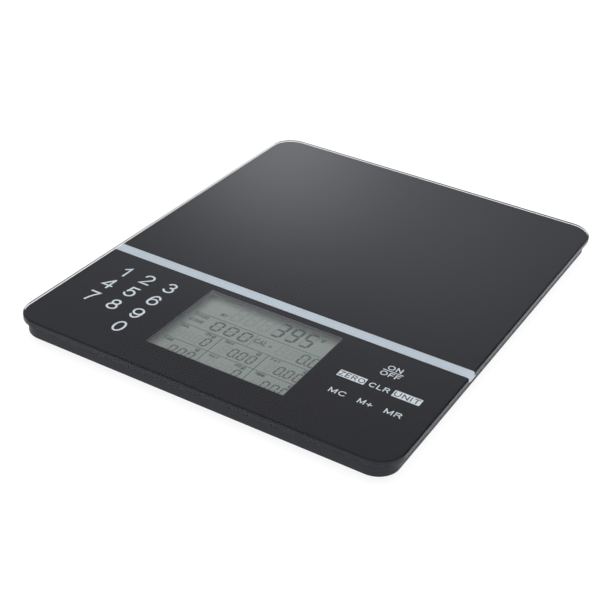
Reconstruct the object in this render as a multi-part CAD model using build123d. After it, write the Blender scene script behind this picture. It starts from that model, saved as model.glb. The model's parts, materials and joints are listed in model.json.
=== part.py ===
from build123d import *
import os

os.makedirs("parts", exist_ok=True)

# Slim glass-top nutrition scale. All sizes are in millimetres.
# The origin is the centre of the box's bottom face: +X right, +Y away from the user, +Z up.

# glass top
GLASS_W = 190.0
GLASS_D = 236.0
GLASS_T = 3.0
GLASS_CORNER_R = 12.6
GLASS_ARRIS = 0.6

# levels above the table
TRAY_BOTTOM_Z = 3.0
FLOOR_T = 1.3
FLOOR_Z = TRAY_BOTTOM_Z + FLOOR_T
GLASS_Z = 10.0
INK_T = 0.1
INK_Z = GLASS_Z - INK_T
ADHESIVE_T = 0.2
RIM_Z = INK_Z - ADHESIVE_T

# ink under the glass
INK_MARGIN = 0.6
BAND_FRONT = 74.6
BAND_D = 6.1
WINDOW_W = 70.0
WINDOW_D = 52.0
WINDOW_FRONT = 18.45

# tray
TRAY_INSET = 2.2
TRAY_WALL = 2.4
TRAY_EDGE_R = 0.8
RIB_T = 1.6
CROSS_RIB_YS = (4.0, 66.0)
INNER_RIB_X = 22.0
OUTER_RIB_X = 48.0
TRAY_W = GLASS_W - 2 * TRAY_INSET
TRAY_D = GLASS_D - 2 * TRAY_INSET
TRAY_CORNER_R = GLASS_CORNER_R - TRAY_INSET

# display stack, from its front down to the board
DISPLAY_Y = -GLASS_D / 2 + WINDOW_FRONT + WINDOW_D / 2
DISPLAY_TOP_Z = 8.6
FILM_T = 0.2
CELL_GLASS_T = 0.7
FILM_W = 72.0
FILM_D = 54.0
FRONT_GLASS_W = 77.0
FRONT_GLASS_D = 62.0
REAR_GLASS_D = 55.6
BEZEL_W = 80.6
BEZEL_D = 65.6
BEZEL_TOP_Z = 9.8
BEZEL_EAR_X = 42.6
BEZEL_EAR_T = 1.2

# main board
BOARD_T = 1.0
BOARD_Z = 5.2
BOARD_TOP_Z = BOARD_Z + BOARD_T
BOARD_W = 92.0
BOARD_FRONT_Y = -108.0
BOARD_BACK_Y = -30.0
BOARD_SCREW_YS = (-95.0, -52.0)

# touch boards, bonded under the inked glass
TOUCH_W = 42.0
TOUCH_D = 57.0
TOUCH_T = 0.8
TOUCH_X = 64.8
TOUCH_Y = -77.6
TOUCH_Z = 9.0

# corner load cells and feet
CELL_X = 68.0
CELL_Y = 90.0
CELL_W = 30.0
CELL_D = 26.0
CELL_T = 1.2
CELL_Z = 5.4
CLAMP_T = 1.0
CLAMP_SCREW_OFFSET = 16.5
FOOT_HOLE_R = 5.5
FOOT_STEM_R = 5.1
FOOT_HOOK_R = 6.3
FOOT_CUP_R = 9.5
FOOT_PAD_R = 7.5
WIRE_R = 0.4
WIRE_PITCH = 1.2
WIRE_GATE_H = 2.4
CELL_WIRE_X = 30.0
LEAD_X = 4.0

# coin cell bay and its door
BAY_Y = 42.0
COIN_R = 10.0
COIN_T = 3.2
COIN_Z = 4.7
DOOR_W = 24.0
DOOR_D = 28.0
DOOR_GAP = 0.4
DOOR_CORNER_R = 3.0
BAY_WALL = 1.4
BAY_CEILING_Z = 8.8
CONTACT_T = 0.3
DOOR_TAB_X = 8.5
DOOR_TAB_W = 5.0
LATCH_W = 8.0


def slab(width, depth, z_low, z_high, x=0.0, y=0.0, corner_r=0.0):
    """A flat plate centred on (x, y) between two levels, with round corners if asked."""
    outline = RectangleRounded(width, depth, corner_r) if corner_r else Rectangle(width, depth)
    return Pos(x, y, z_low) * extrude(outline, amount=z_high - z_low)


def post(radius, z_low, z_high, x=0.0, y=0.0):
    """An upright cylinder between two levels."""
    return Pos(x, y, z_low) * extrude(Circle(radius), amount=z_high - z_low)


def save(name, pieces):
    """Writes one node: a solid, or a group of separate solids."""
    if isinstance(pieces, (list, tuple)):
        pieces = Compound(children=[solid for piece in pieces for solid in piece.solids()])
    export_step(pieces, f"parts/{name}.step")


def tube_along(points, radii, wire_r):
    """A wire of round section along straight runs joined by tangent arcs."""
    route = FilletPolyline(*points, radius=radii)
    start = Plane(origin=route @ 0, z_dir=route % 0)
    return sweep(start * Circle(wire_r), path=route)


def screw(x, y, seat_z, head_r, head_t, shank_r, shank_length):
    """A pan-head screw with a cross recess, its head's underside at seat_z."""
    body = post(head_r, seat_z, seat_z + head_t, x, y) + post(shank_r, seat_z - shank_length, seat_z, x, y)
    top_edge = body.faces().sort_by(Axis.Z)[-1].edges()
    body = fillet(top_edge, head_t * 0.3)
    recess_z = seat_z + head_t * 0.45
    recess_top = seat_z + head_t + 0.1
    slot = slab(head_r * 1.1, head_r * 0.26, recess_z, recess_top, x, y)
    cross = slab(head_r * 0.26, head_r * 1.1, recess_z, recess_top, x, y)
    return body - slot - cross


def glass_platform():
    """Toughened glass plate with ground arrises."""
    plate = slab(GLASS_W, GLASS_D, GLASS_Z, GLASS_Z + GLASS_T, corner_r=GLASS_CORNER_R)
    faces = plate.faces().sort_by(Axis.Z)
    return chamfer(faces[0].edges() + faces[-1].edges(), GLASS_ARRIS)


def ink_layers():
    """Black ink with the display window left clear, and the silver band set in it."""
    margin_r = GLASS_CORNER_R - INK_MARGIN
    sheet_w = GLASS_W - 2 * INK_MARGIN
    sheet_d = GLASS_D - 2 * INK_MARGIN
    sheet = slab(sheet_w, sheet_d, INK_Z, GLASS_Z, corner_r=margin_r)
    band_y = -GLASS_D / 2 + BAND_FRONT + BAND_D / 2
    band = slab(sheet_w, BAND_D, INK_Z, GLASS_Z, y=band_y)
    window = slab(WINDOW_W, WINDOW_D, INK_Z, GLASS_Z, y=DISPLAY_Y, corner_r=0.6)
    return sheet - window - band, band


def rib_layout():
    """Ribs that hold up the glass: (width, depth, x, y) of each."""
    ribs = []
    for y in CROSS_RIB_YS:
        ribs.append((TRAY_W - 2 * TRAY_WALL, RIB_T, 0.0, y))
    front_y, back_y = CROSS_RIB_YS
    back_wall_y = TRAY_D / 2 - TRAY_WALL
    for side in (-1, 1):
        ribs.append((RIB_T, back_wall_y - front_y, side * INNER_RIB_X, (back_wall_y + front_y) / 2))
        ribs.append((RIB_T, back_y - front_y, side * OUTER_RIB_X, (back_y + front_y) / 2))
    return ribs


def glass_adhesive():
    """Bead of adhesive on the tray's rim, strips on the long ribs and a sheet over each touch board."""
    bead_w = TRAY_WALL - 0.4
    outer = slab(TRAY_W - 0.4, TRAY_D - 0.4, RIM_Z, INK_Z, corner_r=TRAY_CORNER_R - 0.2)
    inner = slab(
        TRAY_W - 0.4 - 2 * bead_w,
        TRAY_D - 0.4 - 2 * bead_w,
        RIM_Z,
        INK_Z,
        corner_r=TRAY_CORNER_R - 0.2 - bead_w,
    )
    strips = [outer - inner]
    strip_y = sum(CROSS_RIB_YS) / 2
    for side in (-1, 1):
        for x in (INNER_RIB_X, OUTER_RIB_X):
            strips.append(slab(RIB_T, 60.0, RIM_Z, INK_Z, side * x, strip_y))
        touch_top_z = TOUCH_Z + TOUCH_T
        strips.append(slab(TOUCH_W - 1.0, TOUCH_D - 1.0, touch_top_z, INK_Z, side * TOUCH_X, TOUCH_Y))
    return strips


def tray_shell():
    """Moulded tray: floor, wall and rounded bottom edge."""
    shell = slab(TRAY_W, TRAY_D, TRAY_BOTTOM_Z, RIM_Z, corner_r=TRAY_CORNER_R)
    shell = fillet(shell.faces().sort_by(Axis.Z)[0].edges(), TRAY_EDGE_R)
    cavity_w = TRAY_W - 2 * TRAY_WALL
    cavity_d = TRAY_D - 2 * TRAY_WALL
    return shell - slab(cavity_w, cavity_d, FLOOR_Z, RIM_Z, corner_r=TRAY_CORNER_R - TRAY_WALL)


def tray_ribs():
    """Ribs up to the glass, with low gates where wires pass and room for cells and bay."""
    ribs = Part()
    for width, depth, x, y in rib_layout():
        ribs += slab(width, depth, FLOOR_Z, RIM_Z, x, y)
    gate_top = FLOOR_Z + WIRE_GATE_H
    for side in (-1, 1):
        for y in CROSS_RIB_YS:
            ribs -= slab(7.0, 6.0, FLOOR_Z, gate_top, side * CELL_WIRE_X, y)
        ribs -= slab(3.0, 6.0, FLOOR_Z, gate_top, side * LEAD_X, CROSS_RIB_YS[0])
    return ribs


def battery_bay():
    """Box with a ceiling over the door opening, and the round cradle for the coin cell."""
    inner_w = DOOR_W + 2 * DOOR_GAP
    inner_d = DOOR_D + 2 * DOOR_GAP
    outer_w = inner_w + 2 * BAY_WALL
    outer_d = inner_d + 2 * BAY_WALL
    box = slab(outer_w, outer_d, FLOOR_Z, RIM_Z, y=BAY_Y)
    box -= slab(inner_w, inner_d, FLOOR_Z, BAY_CEILING_Z, y=BAY_Y)
    cradle = post(COIN_R + 1.8, COIN_Z + 0.6, BAY_CEILING_Z, y=BAY_Y)
    cradle -= post(COIN_R + 0.4, COIN_Z + 0.6, BAY_CEILING_Z, y=BAY_Y)
    cradle -= slab(14.0, 30.0, COIN_Z + 0.6, BAY_CEILING_Z, y=BAY_Y - 15.0)
    box += cradle
    for side in (-1, 1):
        tab_slot_y = BAY_Y + inner_d / 2 + BAY_WALL / 2
        tab_room = slab(DOOR_TAB_W + 1.0, BAY_WALL + 0.4, FLOOR_Z, 7.8, side * DOOR_TAB_X, tab_slot_y)
        box -= tab_room
        box -= slab(2.0, BAY_WALL + 2.0, 5.0, 8.0, side * LEAD_X, BAY_Y - inner_d / 2)
    return box


def tray_fittings():
    """Screw bosses, load cell seats and wire clips that stand on the floor."""
    fittings = Part()
    for side in (-1, 1):
        for y in BOARD_SCREW_YS:
            fittings += post(2.3, FLOOR_Z, BOARD_Z, side * BEZEL_EAR_X, y)
        fittings += slab(4.0, 4.0, FLOOR_Z, BOARD_Z, side * 36.0, BOARD_BACK_Y - 4.0)
        for end in (-1, 1):
            x = side * CELL_X
            y = end * CELL_Y
            for dx in (-12.0, 12.0):
                for dy in (-10.5, 10.5):
                    fittings += slab(4.0, 4.0, FLOOR_Z, CELL_Z, x + dx, y + dy)
            for dy in (-CLAMP_SCREW_OFFSET, CLAMP_SCREW_OFFSET):
                fittings += post(2.7, FLOOR_Z, CELL_Z + CELL_T, x, y + dy)
        for y in (24.0, 50.0):
            for dx in (-2.6, 2.6):
                fittings += slab(1.0, 5.0, FLOOR_Z, FLOOR_Z + 1.8, side * CELL_WIRE_X + dx, y)
    return fittings


def tray():
    """The whole moulding, with its holes cut last."""
    body = tray_shell() + tray_ribs() + battery_bay() + tray_fittings()
    opening_w = DOOR_W + 2 * DOOR_GAP
    opening_d = DOOR_D + 2 * DOOR_GAP
    opening_r = DOOR_CORNER_R + DOOR_GAP
    body -= slab(opening_w, opening_d, TRAY_BOTTOM_Z, FLOOR_Z, y=BAY_Y, corner_r=opening_r)
    thumb_y = BAY_Y - opening_d / 2
    thumb_dent = slab(12.0, 9.0, TRAY_BOTTOM_Z, TRAY_BOTTOM_Z + 0.8, y=thumb_y, corner_r=2.0)
    body -= thumb_dent
    for side in (-1, 1):
        for y in BOARD_SCREW_YS:
            body -= post(0.8, BOARD_Z - 1.6, BOARD_Z, side * BEZEL_EAR_X, y)
        for end in (-1, 1):
            x = side * CELL_X
            y = end * CELL_Y
            body -= post(FOOT_HOLE_R, TRAY_BOTTOM_Z, FLOOR_Z, x, y)
            for dy in (-CLAMP_SCREW_OFFSET, CLAMP_SCREW_OFFSET):
                body -= post(0.9, CELL_Z - 1.4, CELL_Z + CELL_T, x, y + dy)
    return body


def lcd_bezel():
    """Frame that clips the display to the board, with four screw ears."""
    frame = slab(BEZEL_W, BEZEL_D, BOARD_TOP_Z, BEZEL_TOP_Z, y=DISPLAY_Y, corner_r=1.5)
    for side in (-1, 1):
        for y in BOARD_SCREW_YS:
            ear_top = BOARD_TOP_Z + BEZEL_EAR_T
            frame += slab(9.0, 6.0, BOARD_TOP_Z, ear_top, side * (BEZEL_EAR_X - 1.6), y, 1.5)
    room_w = FRONT_GLASS_W + 0.4
    room_d = FRONT_GLASS_D + 0.4
    frame -= slab(room_w, room_d, BOARD_TOP_Z, DISPLAY_TOP_Z, y=DISPLAY_Y)
    frame -= slab(WINDOW_W + 1.0, WINDOW_D + 1.0, DISPLAY_TOP_Z, BEZEL_TOP_Z, y=DISPLAY_Y, corner_r=0.8)
    for side in (-1, 1):
        for y in BOARD_SCREW_YS:
            frame -= post(1.1, BOARD_TOP_Z, BOARD_TOP_Z + BEZEL_EAR_T, side * BEZEL_EAR_X, y)
    return frame


def display_layers():
    """Polariser, two glasses and the reflector, stacked downwards, and the rubber connectors."""
    z = DISPLAY_TOP_Z
    layers = {}
    sizes = (
        ("lcd_front_polariser", FILM_W, FILM_D, FILM_T),
        ("lcd_front_glass", FRONT_GLASS_W, FRONT_GLASS_D, CELL_GLASS_T),
        ("lcd_rear_glass", FRONT_GLASS_W, REAR_GLASS_D, CELL_GLASS_T),
        ("lcd_reflector", FILM_W, FILM_D, FILM_T),
    )
    for name, width, depth, thickness in sizes:
        layers[name] = slab(width, depth, z - thickness, z, y=DISPLAY_Y)
        z -= thickness
    contact_z = DISPLAY_TOP_Z - FILM_T - CELL_GLASS_T
    ledge_y = (REAR_GLASS_D + FRONT_GLASS_D) / 4
    strips = []
    for end in (-1, 1):
        strips.append(slab(70.0, 2.2, BOARD_TOP_Z, contact_z, y=DISPLAY_Y + end * ledge_y))
    layers["lcd_rubber_connectors"] = strips
    return layers


def main_board():
    """Circuit board under the display, with its screw holes."""
    depth = BOARD_BACK_Y - BOARD_FRONT_Y
    middle_y = (BOARD_BACK_Y + BOARD_FRONT_Y) / 2
    board = slab(BOARD_W, depth, BOARD_Z, BOARD_TOP_Z, y=middle_y, corner_r=1.0)
    for side in (-1, 1):
        for y in BOARD_SCREW_YS:
            board -= post(1.1, BOARD_Z, BOARD_TOP_Z, side * BEZEL_EAR_X, y)
    return board


def controller_blob():
    """Resin drop over the bonded chip, behind the display."""
    top_z = BOARD_TOP_Z + 1.3
    blob_x = 14.0
    blob_y = BOARD_BACK_Y - 4.6
    drop = post(6.0, BOARD_TOP_Z, top_z, blob_x, blob_y)
    drop = drop & slab(12.0, 7.6, BOARD_TOP_Z, top_z, blob_x, blob_y)
    return fillet(drop.faces().sort_by(Axis.Z)[-1].edges(), 1.0)


def board_components():
    """Chip resistors and capacitors in a row behind the display."""
    chips = []
    for count in range(9):
        x = -26.0 + count * 2.6
        chips.append(slab(1.2, 2.0, BOARD_TOP_Z, BOARD_TOP_Z + 0.6, x, BOARD_BACK_Y - 3.6))
    for count in range(6):
        x = 23.0 + count * 2.6
        chips.append(slab(1.2, 2.0, BOARD_TOP_Z, BOARD_TOP_Z + 0.6, x, BOARD_BACK_Y - 5.6))
    return chips


def touch_chips():
    """One touch controller under each touch board, with its rows of pins."""
    chips = []
    chip_y = -57.0
    for side in (-1, 1):
        x = side * TOUCH_X
        body = slab(9.8, 3.9, TOUCH_Z - 1.5, TOUCH_Z - 0.15, x, chip_y)
        for pin in range(8):
            pin_x = x - 4.45 + pin * 1.27
            body += slab(0.45, 6.0, TOUCH_Z - 0.3, TOUCH_Z, pin_x, chip_y)
        chips.append(body)
    return chips


def ribbon(side):
    """Flat cable from a touch board down to the main board's edge."""
    high_z = TOUCH_Z - 0.2
    low_z = BOARD_TOP_Z + 0.2
    points = [
        (side * 52.0, 0.0, high_z),
        (side * 48.6, 0.0, high_z),
        (side * 46.6, 0.0, low_z),
        (side * 41.2, 0.0, low_z),
    ]
    route = Pos(0, -73.5, 0) * FilletPolyline(*points, radius=0.7)
    start = Plane(origin=route @ 0, x_dir=(0, 1, 0), z_dir=route % 0)
    return sweep(start * Rectangle(12.0, 0.3), path=route)


def load_cell():
    """Sprung steel plate with a tongue cut free on three sides, at the origin."""
    plate = slab(CELL_W, CELL_D, CELL_Z, CELL_Z + CELL_T, corner_r=2.0)
    slot = slab(18.0, 16.0, CELL_Z, CELL_Z + CELL_T, x=1.0, corner_r=1.5)
    slot -= slab(18.0, 12.4, CELL_Z, CELL_Z + CELL_T, x=-0.9)
    plate -= slot
    for dy in (-6.2, 6.2):
        plate -= post(1.6, CELL_Z, CELL_Z + CELL_T, -8.6, dy)
    return plate


def strain_gauge():
    """Gauge film under its drop of white sealant, on the tongue's root."""
    top = CELL_Z + CELL_T
    film = slab(6.0, 8.0, top, top + 0.6, x=-5.0, corner_r=1.5)
    return fillet(film.faces().sort_by(Axis.Z)[-1].edges(), 0.4)


def cell_clamp():
    """Open-sided clamp frame that holds the plate's rim down, with two screw ears."""
    low = CELL_Z + CELL_T
    high = low + CLAMP_T
    frame = slab(33.0, 29.0, low, high, x=1.0, corner_r=2.0)
    frame -= slab(30.0, 21.0, low, high, x=-4.0, corner_r=1.0)
    for dy in (-CLAMP_SCREW_OFFSET, CLAMP_SCREW_OFFSET):
        frame += post(3.2, low, high, 0.0, dy)
    for dy in (-CLAMP_SCREW_OFFSET, CLAMP_SCREW_OFFSET):
        frame -= post(1.2, low, high, 0.0, dy)
    return frame


def foot_cup():
    """Foot with a split stem whose hooks hold it in the tray."""
    cup = post(FOOT_CUP_R, 0.6, 2.6)
    cup = fillet(cup.faces().sort_by(Axis.Z)[0].edges(), 0.5)
    cup -= post(FOOT_PAD_R, 0.6, 1.6)
    stem = post(FOOT_STEM_R, 2.6, 5.0)
    hooks = post(FOOT_HOOK_R, FLOOR_Z + 0.1, 5.0)
    hooks = chamfer(hooks.faces().sort_by(Axis.Z)[-1].edges(), 0.4)
    stem += hooks
    stem -= post(3.4, 3.2, 5.0)
    for angle in (0, 90):
        stem -= Rot(0, 0, angle) * slab(14.0, 2.0, 3.2, 5.0)
    return cup + stem


def foot_pad():
    """Rubber pad with two grooves, pressed into the cup."""
    pad = post(FOOT_PAD_R, 0.0, 1.6)
    pad = fillet(pad.faces().sort_by(Axis.Z)[0].edges(), 0.3)
    for radius in (3.0, 5.2):
        pad -= post(radius + 0.3, 0.0, 0.3) - post(radius - 0.3, 0.0, 0.3)
    return pad


def front_wires(side):
    """Three wires from a front load cell straight across to the main board."""
    wires = []
    cell_z = CELL_Z + CELL_T + WIRE_R
    board_z = BOARD_TOP_Z + WIRE_R
    for count in (-1, 0, 1):
        y = -CELL_Y + count * WIRE_PITCH
        points = [
            (side * (CELL_X - 8.0), y, cell_z),
            (side * (CELL_X - 16.0), y, cell_z),
            (side * (CELL_X - 20.0), y + 1.5, board_z),
            (side * 44.0, y + 2.5, board_z),
        ]
        wires.append(tube_along(points, (3.0, 3.0), WIRE_R))
    return wires


def back_wires(side):
    """Three wires from a back load cell along the floor to the main board's back edge."""
    wires = []
    cell_z = CELL_Z + CELL_T + WIRE_R
    floor_z = FLOOR_Z + WIRE_R + 0.1
    board_z = BOARD_TOP_Z + WIRE_R
    for count in (-1, 0, 1):
        shift = count * WIRE_PITCH
        run_x = side * (CELL_WIRE_X + shift)
        points = [
            (side * (CELL_X - 8.0), CELL_Y + shift, cell_z),
            (side * 50.0, CELL_Y + shift, cell_z),
            (side * 44.0, CELL_Y + shift, floor_z),
            (run_x, CELL_Y + shift, floor_z),
            (run_x, -20.0, floor_z),
            (run_x, -26.0, board_z),
            (run_x, -33.5, board_z),
        ]
        wires.append(tube_along(points, (4.0, 4.0, 5.0 + shift, 4.0, 4.0), WIRE_R))
    return wires


def battery_wires():
    """Two leads from the bay's contacts to the main board."""
    leads = []
    floor_z = FLOOR_Z + WIRE_R + 0.1
    board_z = BOARD_TOP_Z + WIRE_R
    tab_z = 6.4
    for side in (-1, 1):
        x = side * LEAD_X
        points = [
            (x, 25.0, tab_z),
            (x, 18.0, tab_z),
            (x, 12.0, floor_z),
            (x, -20.0, floor_z),
            (x, -26.0, board_z),
            (x, -32.2, board_z),
        ]
        leads.append(tube_along(points, (4.0, 4.0, 4.0, 4.0), WIRE_R))
    return leads


def coin_cell():
    """Three-volt coin cell, negative cap up."""
    can = post(COIN_R, COIN_Z, COIN_Z + COIN_T - 0.5, y=BAY_Y)
    can = fillet(can.faces().sort_by(Axis.Z)[0].edges(), 0.4)
    cap = post(COIN_R - 1.2, COIN_Z + COIN_T - 0.5, COIN_Z + COIN_T, y=BAY_Y)
    cap = fillet(cap.faces().sort_by(Axis.Z)[-1].edges(), 0.3)
    return can + cap


def negative_contact():
    """Leaf under the bay's ceiling with a dimple on the cell's cap, and its solder tab."""
    wall_y = BAY_Y - DOOR_D / 2 - DOOR_GAP
    low_z = BAY_CEILING_Z - CONTACT_T
    leaf = slab(4.0, 20.0, low_z, BAY_CEILING_Z, -LEAD_X, wall_y + 10.0)
    leaf += post(1.2, COIN_Z + COIN_T, BAY_CEILING_Z - 0.1, -LEAD_X, BAY_Y + 1.0)
    return leaf + contact_tab(-LEAD_X)


def positive_contact():
    """Leaf that stands in the cradle's gap and leans on the cell's rim."""
    wall_y = BAY_Y - DOOR_D / 2 - DOOR_GAP
    leaf_y = BAY_Y - COIN_R * 0.98 - CONTACT_T / 2
    leaf = slab(3.0, CONTACT_T, 5.2, BAY_CEILING_Z, LEAD_X - 0.1, leaf_y)
    bridge_d = leaf_y + CONTACT_T / 2 - wall_y
    leaf += slab(3.0, bridge_d, BAY_CEILING_Z - CONTACT_T, BAY_CEILING_Z, LEAD_X - 0.1, wall_y + bridge_d / 2)
    return leaf + contact_tab(LEAD_X)


def contact_tab(x):
    """Strip down the inside of the bay's front wall, bent out through its slot."""
    wall_y = BAY_Y - DOOR_D / 2 - DOOR_GAP
    strip = slab(1.4, CONTACT_T, 5.4, BAY_CEILING_Z, x, wall_y + CONTACT_T / 2)
    foot = slab(1.4, 2.4, 5.4, 5.4 + CONTACT_T, x, wall_y + CONTACT_T - 1.2)
    return strip + foot


def battery_door():
    """Hatch in the tray's floor: two tabs at the back, a sprung latch at the front."""
    door = slab(DOOR_W, DOOR_D, TRAY_BOTTOM_Z, FLOOR_Z, y=BAY_Y, corner_r=DOOR_CORNER_R)
    back_y = BAY_Y + DOOR_D / 2
    front_y = BAY_Y - DOOR_D / 2
    for side in (-1, 1):
        x = side * DOOR_TAB_X
        door += slab(DOOR_TAB_W, 1.6, FLOOR_Z, FLOOR_Z + 1.3, x, back_y - 0.8)
        door += slab(DOOR_TAB_W, 3.0, FLOOR_Z + 0.3, FLOOR_Z + 1.3, x, back_y + 1.1)
        slit_x = side * (LATCH_W / 2 + 0.4)
        door -= slab(0.8, 6.5, TRAY_BOTTOM_Z, FLOOR_Z, slit_x, front_y + 3.25)
    door += slab(LATCH_W - 2.0, 0.9, FLOOR_Z, FLOOR_Z + 0.9, 0.0, front_y + 0.45)
    for count in range(4):
        groove_y = front_y + 1.6 + count * 1.3
        door -= slab(LATCH_W - 2.0, 0.5, TRAY_BOTTOM_Z, TRAY_BOTTOM_Z + 0.3, 0.0, groove_y)
    return door


black_ink, silver_ink = ink_layers()
save("glass_platform", glass_platform())
save("black_backprint", black_ink)
save("silver_band", silver_ink)
save("glass_adhesive", glass_adhesive())
save("tray", tray())
save("lcd_bezel", lcd_bezel())
for layer_name, layer in display_layers().items():
    save(layer_name, layer)
save("main_board", main_board())
save("controller_blob", controller_blob())
save("board_components", board_components())
save("touch_chips", touch_chips())
save("coin_cell", coin_cell())
save("negative_contact", negative_contact())
save("positive_contact", positive_contact())
save("battery_wires", battery_wires())
save("battery_door", battery_door())

board_screws = []
clamp_screws = []
for side_name, side in (("left", -1), ("right", 1)):
    touch_board = slab(TOUCH_W, TOUCH_D, TOUCH_Z, TOUCH_Z + TOUCH_T, side * TOUCH_X, TOUCH_Y)
    save(f"touch_board_{side_name}", touch_board)
    save(f"touch_ribbon_{side_name}", ribbon(side))
    for y in BOARD_SCREW_YS:
        ear_top = BOARD_TOP_Z + BEZEL_EAR_T
        board_screws.append(screw(side * BEZEL_EAR_X, y, ear_top, 1.8, 1.0, 0.8, 3.6))
    for end_name, end in (("front", -1), ("back", 1)):
        corner = f"{end_name}_{side_name}"
        place = Pos(side * CELL_X, end * CELL_Y, 0)
        turn = Rot(0, 0, 180) if side < 0 else Rot(0, 0, 0)
        save(f"load_cell_{corner}", place * turn * load_cell())
        save(f"strain_gauge_{corner}", place * turn * strain_gauge())
        save(f"cell_clamp_{corner}", place * turn * cell_clamp())
        save(f"foot_cup_{corner}", place * foot_cup())
        save(f"foot_pad_{corner}", place * foot_pad())
        save(f"cell_wires_{corner}", front_wires(side) if end < 0 else back_wires(side))
        clamp_top = CELL_Z + CELL_T + CLAMP_T
        for dy in (-CLAMP_SCREW_OFFSET, CLAMP_SCREW_OFFSET):
            clamp_screws.append(screw(side * CELL_X, end * CELL_Y + dy, clamp_top, 1.9, 1.0, 0.9, 3.2))
save("board_screws", board_screws)
save("clamp_screws", clamp_screws)
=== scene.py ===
import json
import math

import bmesh
import bpy
from mathutils import Matrix, Vector


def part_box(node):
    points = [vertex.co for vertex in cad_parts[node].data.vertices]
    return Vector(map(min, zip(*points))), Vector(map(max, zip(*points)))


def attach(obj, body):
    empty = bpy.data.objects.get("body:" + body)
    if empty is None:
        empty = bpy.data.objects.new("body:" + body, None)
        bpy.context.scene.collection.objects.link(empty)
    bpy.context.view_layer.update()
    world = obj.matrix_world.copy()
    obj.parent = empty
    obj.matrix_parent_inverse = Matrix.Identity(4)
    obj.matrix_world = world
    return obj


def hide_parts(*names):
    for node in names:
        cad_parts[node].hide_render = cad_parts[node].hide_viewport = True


bl_info = {
    "name": "Slim Nutrition Scale",
    "version": (1, 0, 0),
    "blender": (4, 5, 0),
    "location": "3D View > Sidebar > Scale",
    "description": "Finishes a slim glass-top nutrition scale around its CAD frame",
    "category": "Object",
}

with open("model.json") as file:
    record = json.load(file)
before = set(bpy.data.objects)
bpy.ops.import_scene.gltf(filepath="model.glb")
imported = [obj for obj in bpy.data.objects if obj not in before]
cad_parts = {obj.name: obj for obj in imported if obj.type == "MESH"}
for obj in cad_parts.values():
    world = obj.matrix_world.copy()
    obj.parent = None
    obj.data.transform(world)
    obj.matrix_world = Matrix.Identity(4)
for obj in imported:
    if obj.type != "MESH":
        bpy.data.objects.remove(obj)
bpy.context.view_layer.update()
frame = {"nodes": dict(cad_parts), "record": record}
NODES = frame["nodes"]

MM = 0.001
GLASS_LOW, GLASS_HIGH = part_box("glass_platform")
WINDOW_LOW, WINDOW_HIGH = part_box("lcd_front_polariser")
BAND_LOW, BAND_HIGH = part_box("silver_band")
HOUSING = "housing"

# Depths of the printed layers, measured up from the glass's underside into the glass.
BLACK_INK = (0.020, 0.040)
PALE_INK = (0.050, 0.060)
TOP_INK = (0.065, 0.070)
# Crossing strokes of one character stand this much apart, so that no two faces coincide.
STROKE_STEP = 0.001 * MM
# A noise that is not drawn out in any direction.
EVEN = (1.0, 1.0, 1.0)


# ---- properties


def millimetres(name, description, default):
    """A length the user can change, in millimetres."""
    return bpy.props.FloatProperty(name=name, description=description, default=default, min=0.0, max=500.0)


def colour(name, description, default):
    """A colour the user can change, with its default in linear light."""
    return bpy.props.FloatVectorProperty(
        name=name, description=description, default=default, size=3, min=0.0, max=1.0, subtype="COLOR"
    )


class ScaleGlassSettings(bpy.types.PropertyGroup):
    """Sizes and colours of the glass top and its print."""

    corner_radius: millimetres("Corner radius", "Radius of the plate's corners", 12.6)
    arris: millimetres("Arris", "Radius of the polished upper edge", 0.9)
    lower_arris: millimetres("Lower arris", "Width of the bevel along the lower edges", 0.3)
    ink_margin: millimetres("Ink margin", "Clear strip around the print", 0.5)
    window_width: millimetres("Window width", "Width of the clear display window", 70.0)
    window_depth: millimetres("Window depth", "Front to back size of the display window", 52.0)
    key_pitch: millimetres("Key pitch", "Distance between neighbouring keys", 12.9)
    digit_height: millimetres("Digit height", "Height of the printed numbers", 8.5)
    digit_stroke: millimetres("Digit stroke", "Stroke width of the printed numbers", 1.0)
    word_height: millimetres("Word height", "Height of the printed function names", 3.35)
    word_stroke: millimetres("Word stroke", "Stroke width of the printed function names", 0.5)
    black_ink: colour("Black ink", "Ink that covers the underside of the glass", (0.0045, 0.0047, 0.0062))
    band_ink: colour("Band ink", "Pale silver-blue band", (0.405, 0.454, 0.5))
    mark_ink: colour("Mark ink", "Ink of the key marks", (0.51, 0.555, 0.59))


class ScaleDisplaySettings(bpy.types.PropertyGroup):
    """Sizes and colours of the liquid crystal display."""

    large_height: millimetres("Weight digits", "Height of the weight digits", 12.1)
    middle_height: millimetres("Energy digits", "Height of the energy digits", 7.9)
    small_height: millimetres("Nutrient digits", "Height of the nutrient digits", 6.8)
    rule_width: millimetres("Rule width", "Width of the printed rules", 0.4)
    slant: bpy.props.FloatProperty(
        name="Slant", description="Lean of the digits to the right", default=math.radians(4.5), subtype="ANGLE"
    )
    face: colour("Display face", "Grey-green of the unlit display", (0.149, 0.168, 0.154))
    lit: colour("Lit segment", "Dark grey of a lit segment", (0.026, 0.038, 0.042))
    weak: colour("Weak segment", "Grey of the smaller lit segments", (0.034, 0.046, 0.040))
    ghost: colour("Unlit segment", "Faint tint of an unlit segment", (0.126, 0.143, 0.130))
    # The surround's dark colour also stands in for painted shade under the window's back and left edges.
    surround: colour("Surround", "Dark frame round the display", (0.03, 0.034, 0.036))


class ScaleBodySettings(bpy.types.PropertyGroup):
    """Colours of the tray, the feet and the inner parts."""

    tray: colour("Tray", "Black moulded tray", (0.015, 0.0158, 0.0195))
    rubber: colour("Rubber", "Rubber of the foot pads", (0.03, 0.03, 0.03))
    steel: colour("Steel", "Plated steel parts", (0.55, 0.55, 0.56))
    board: colour("Circuit board", "Solder mask", (0.012, 0.09, 0.035))


# ---- materials


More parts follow.
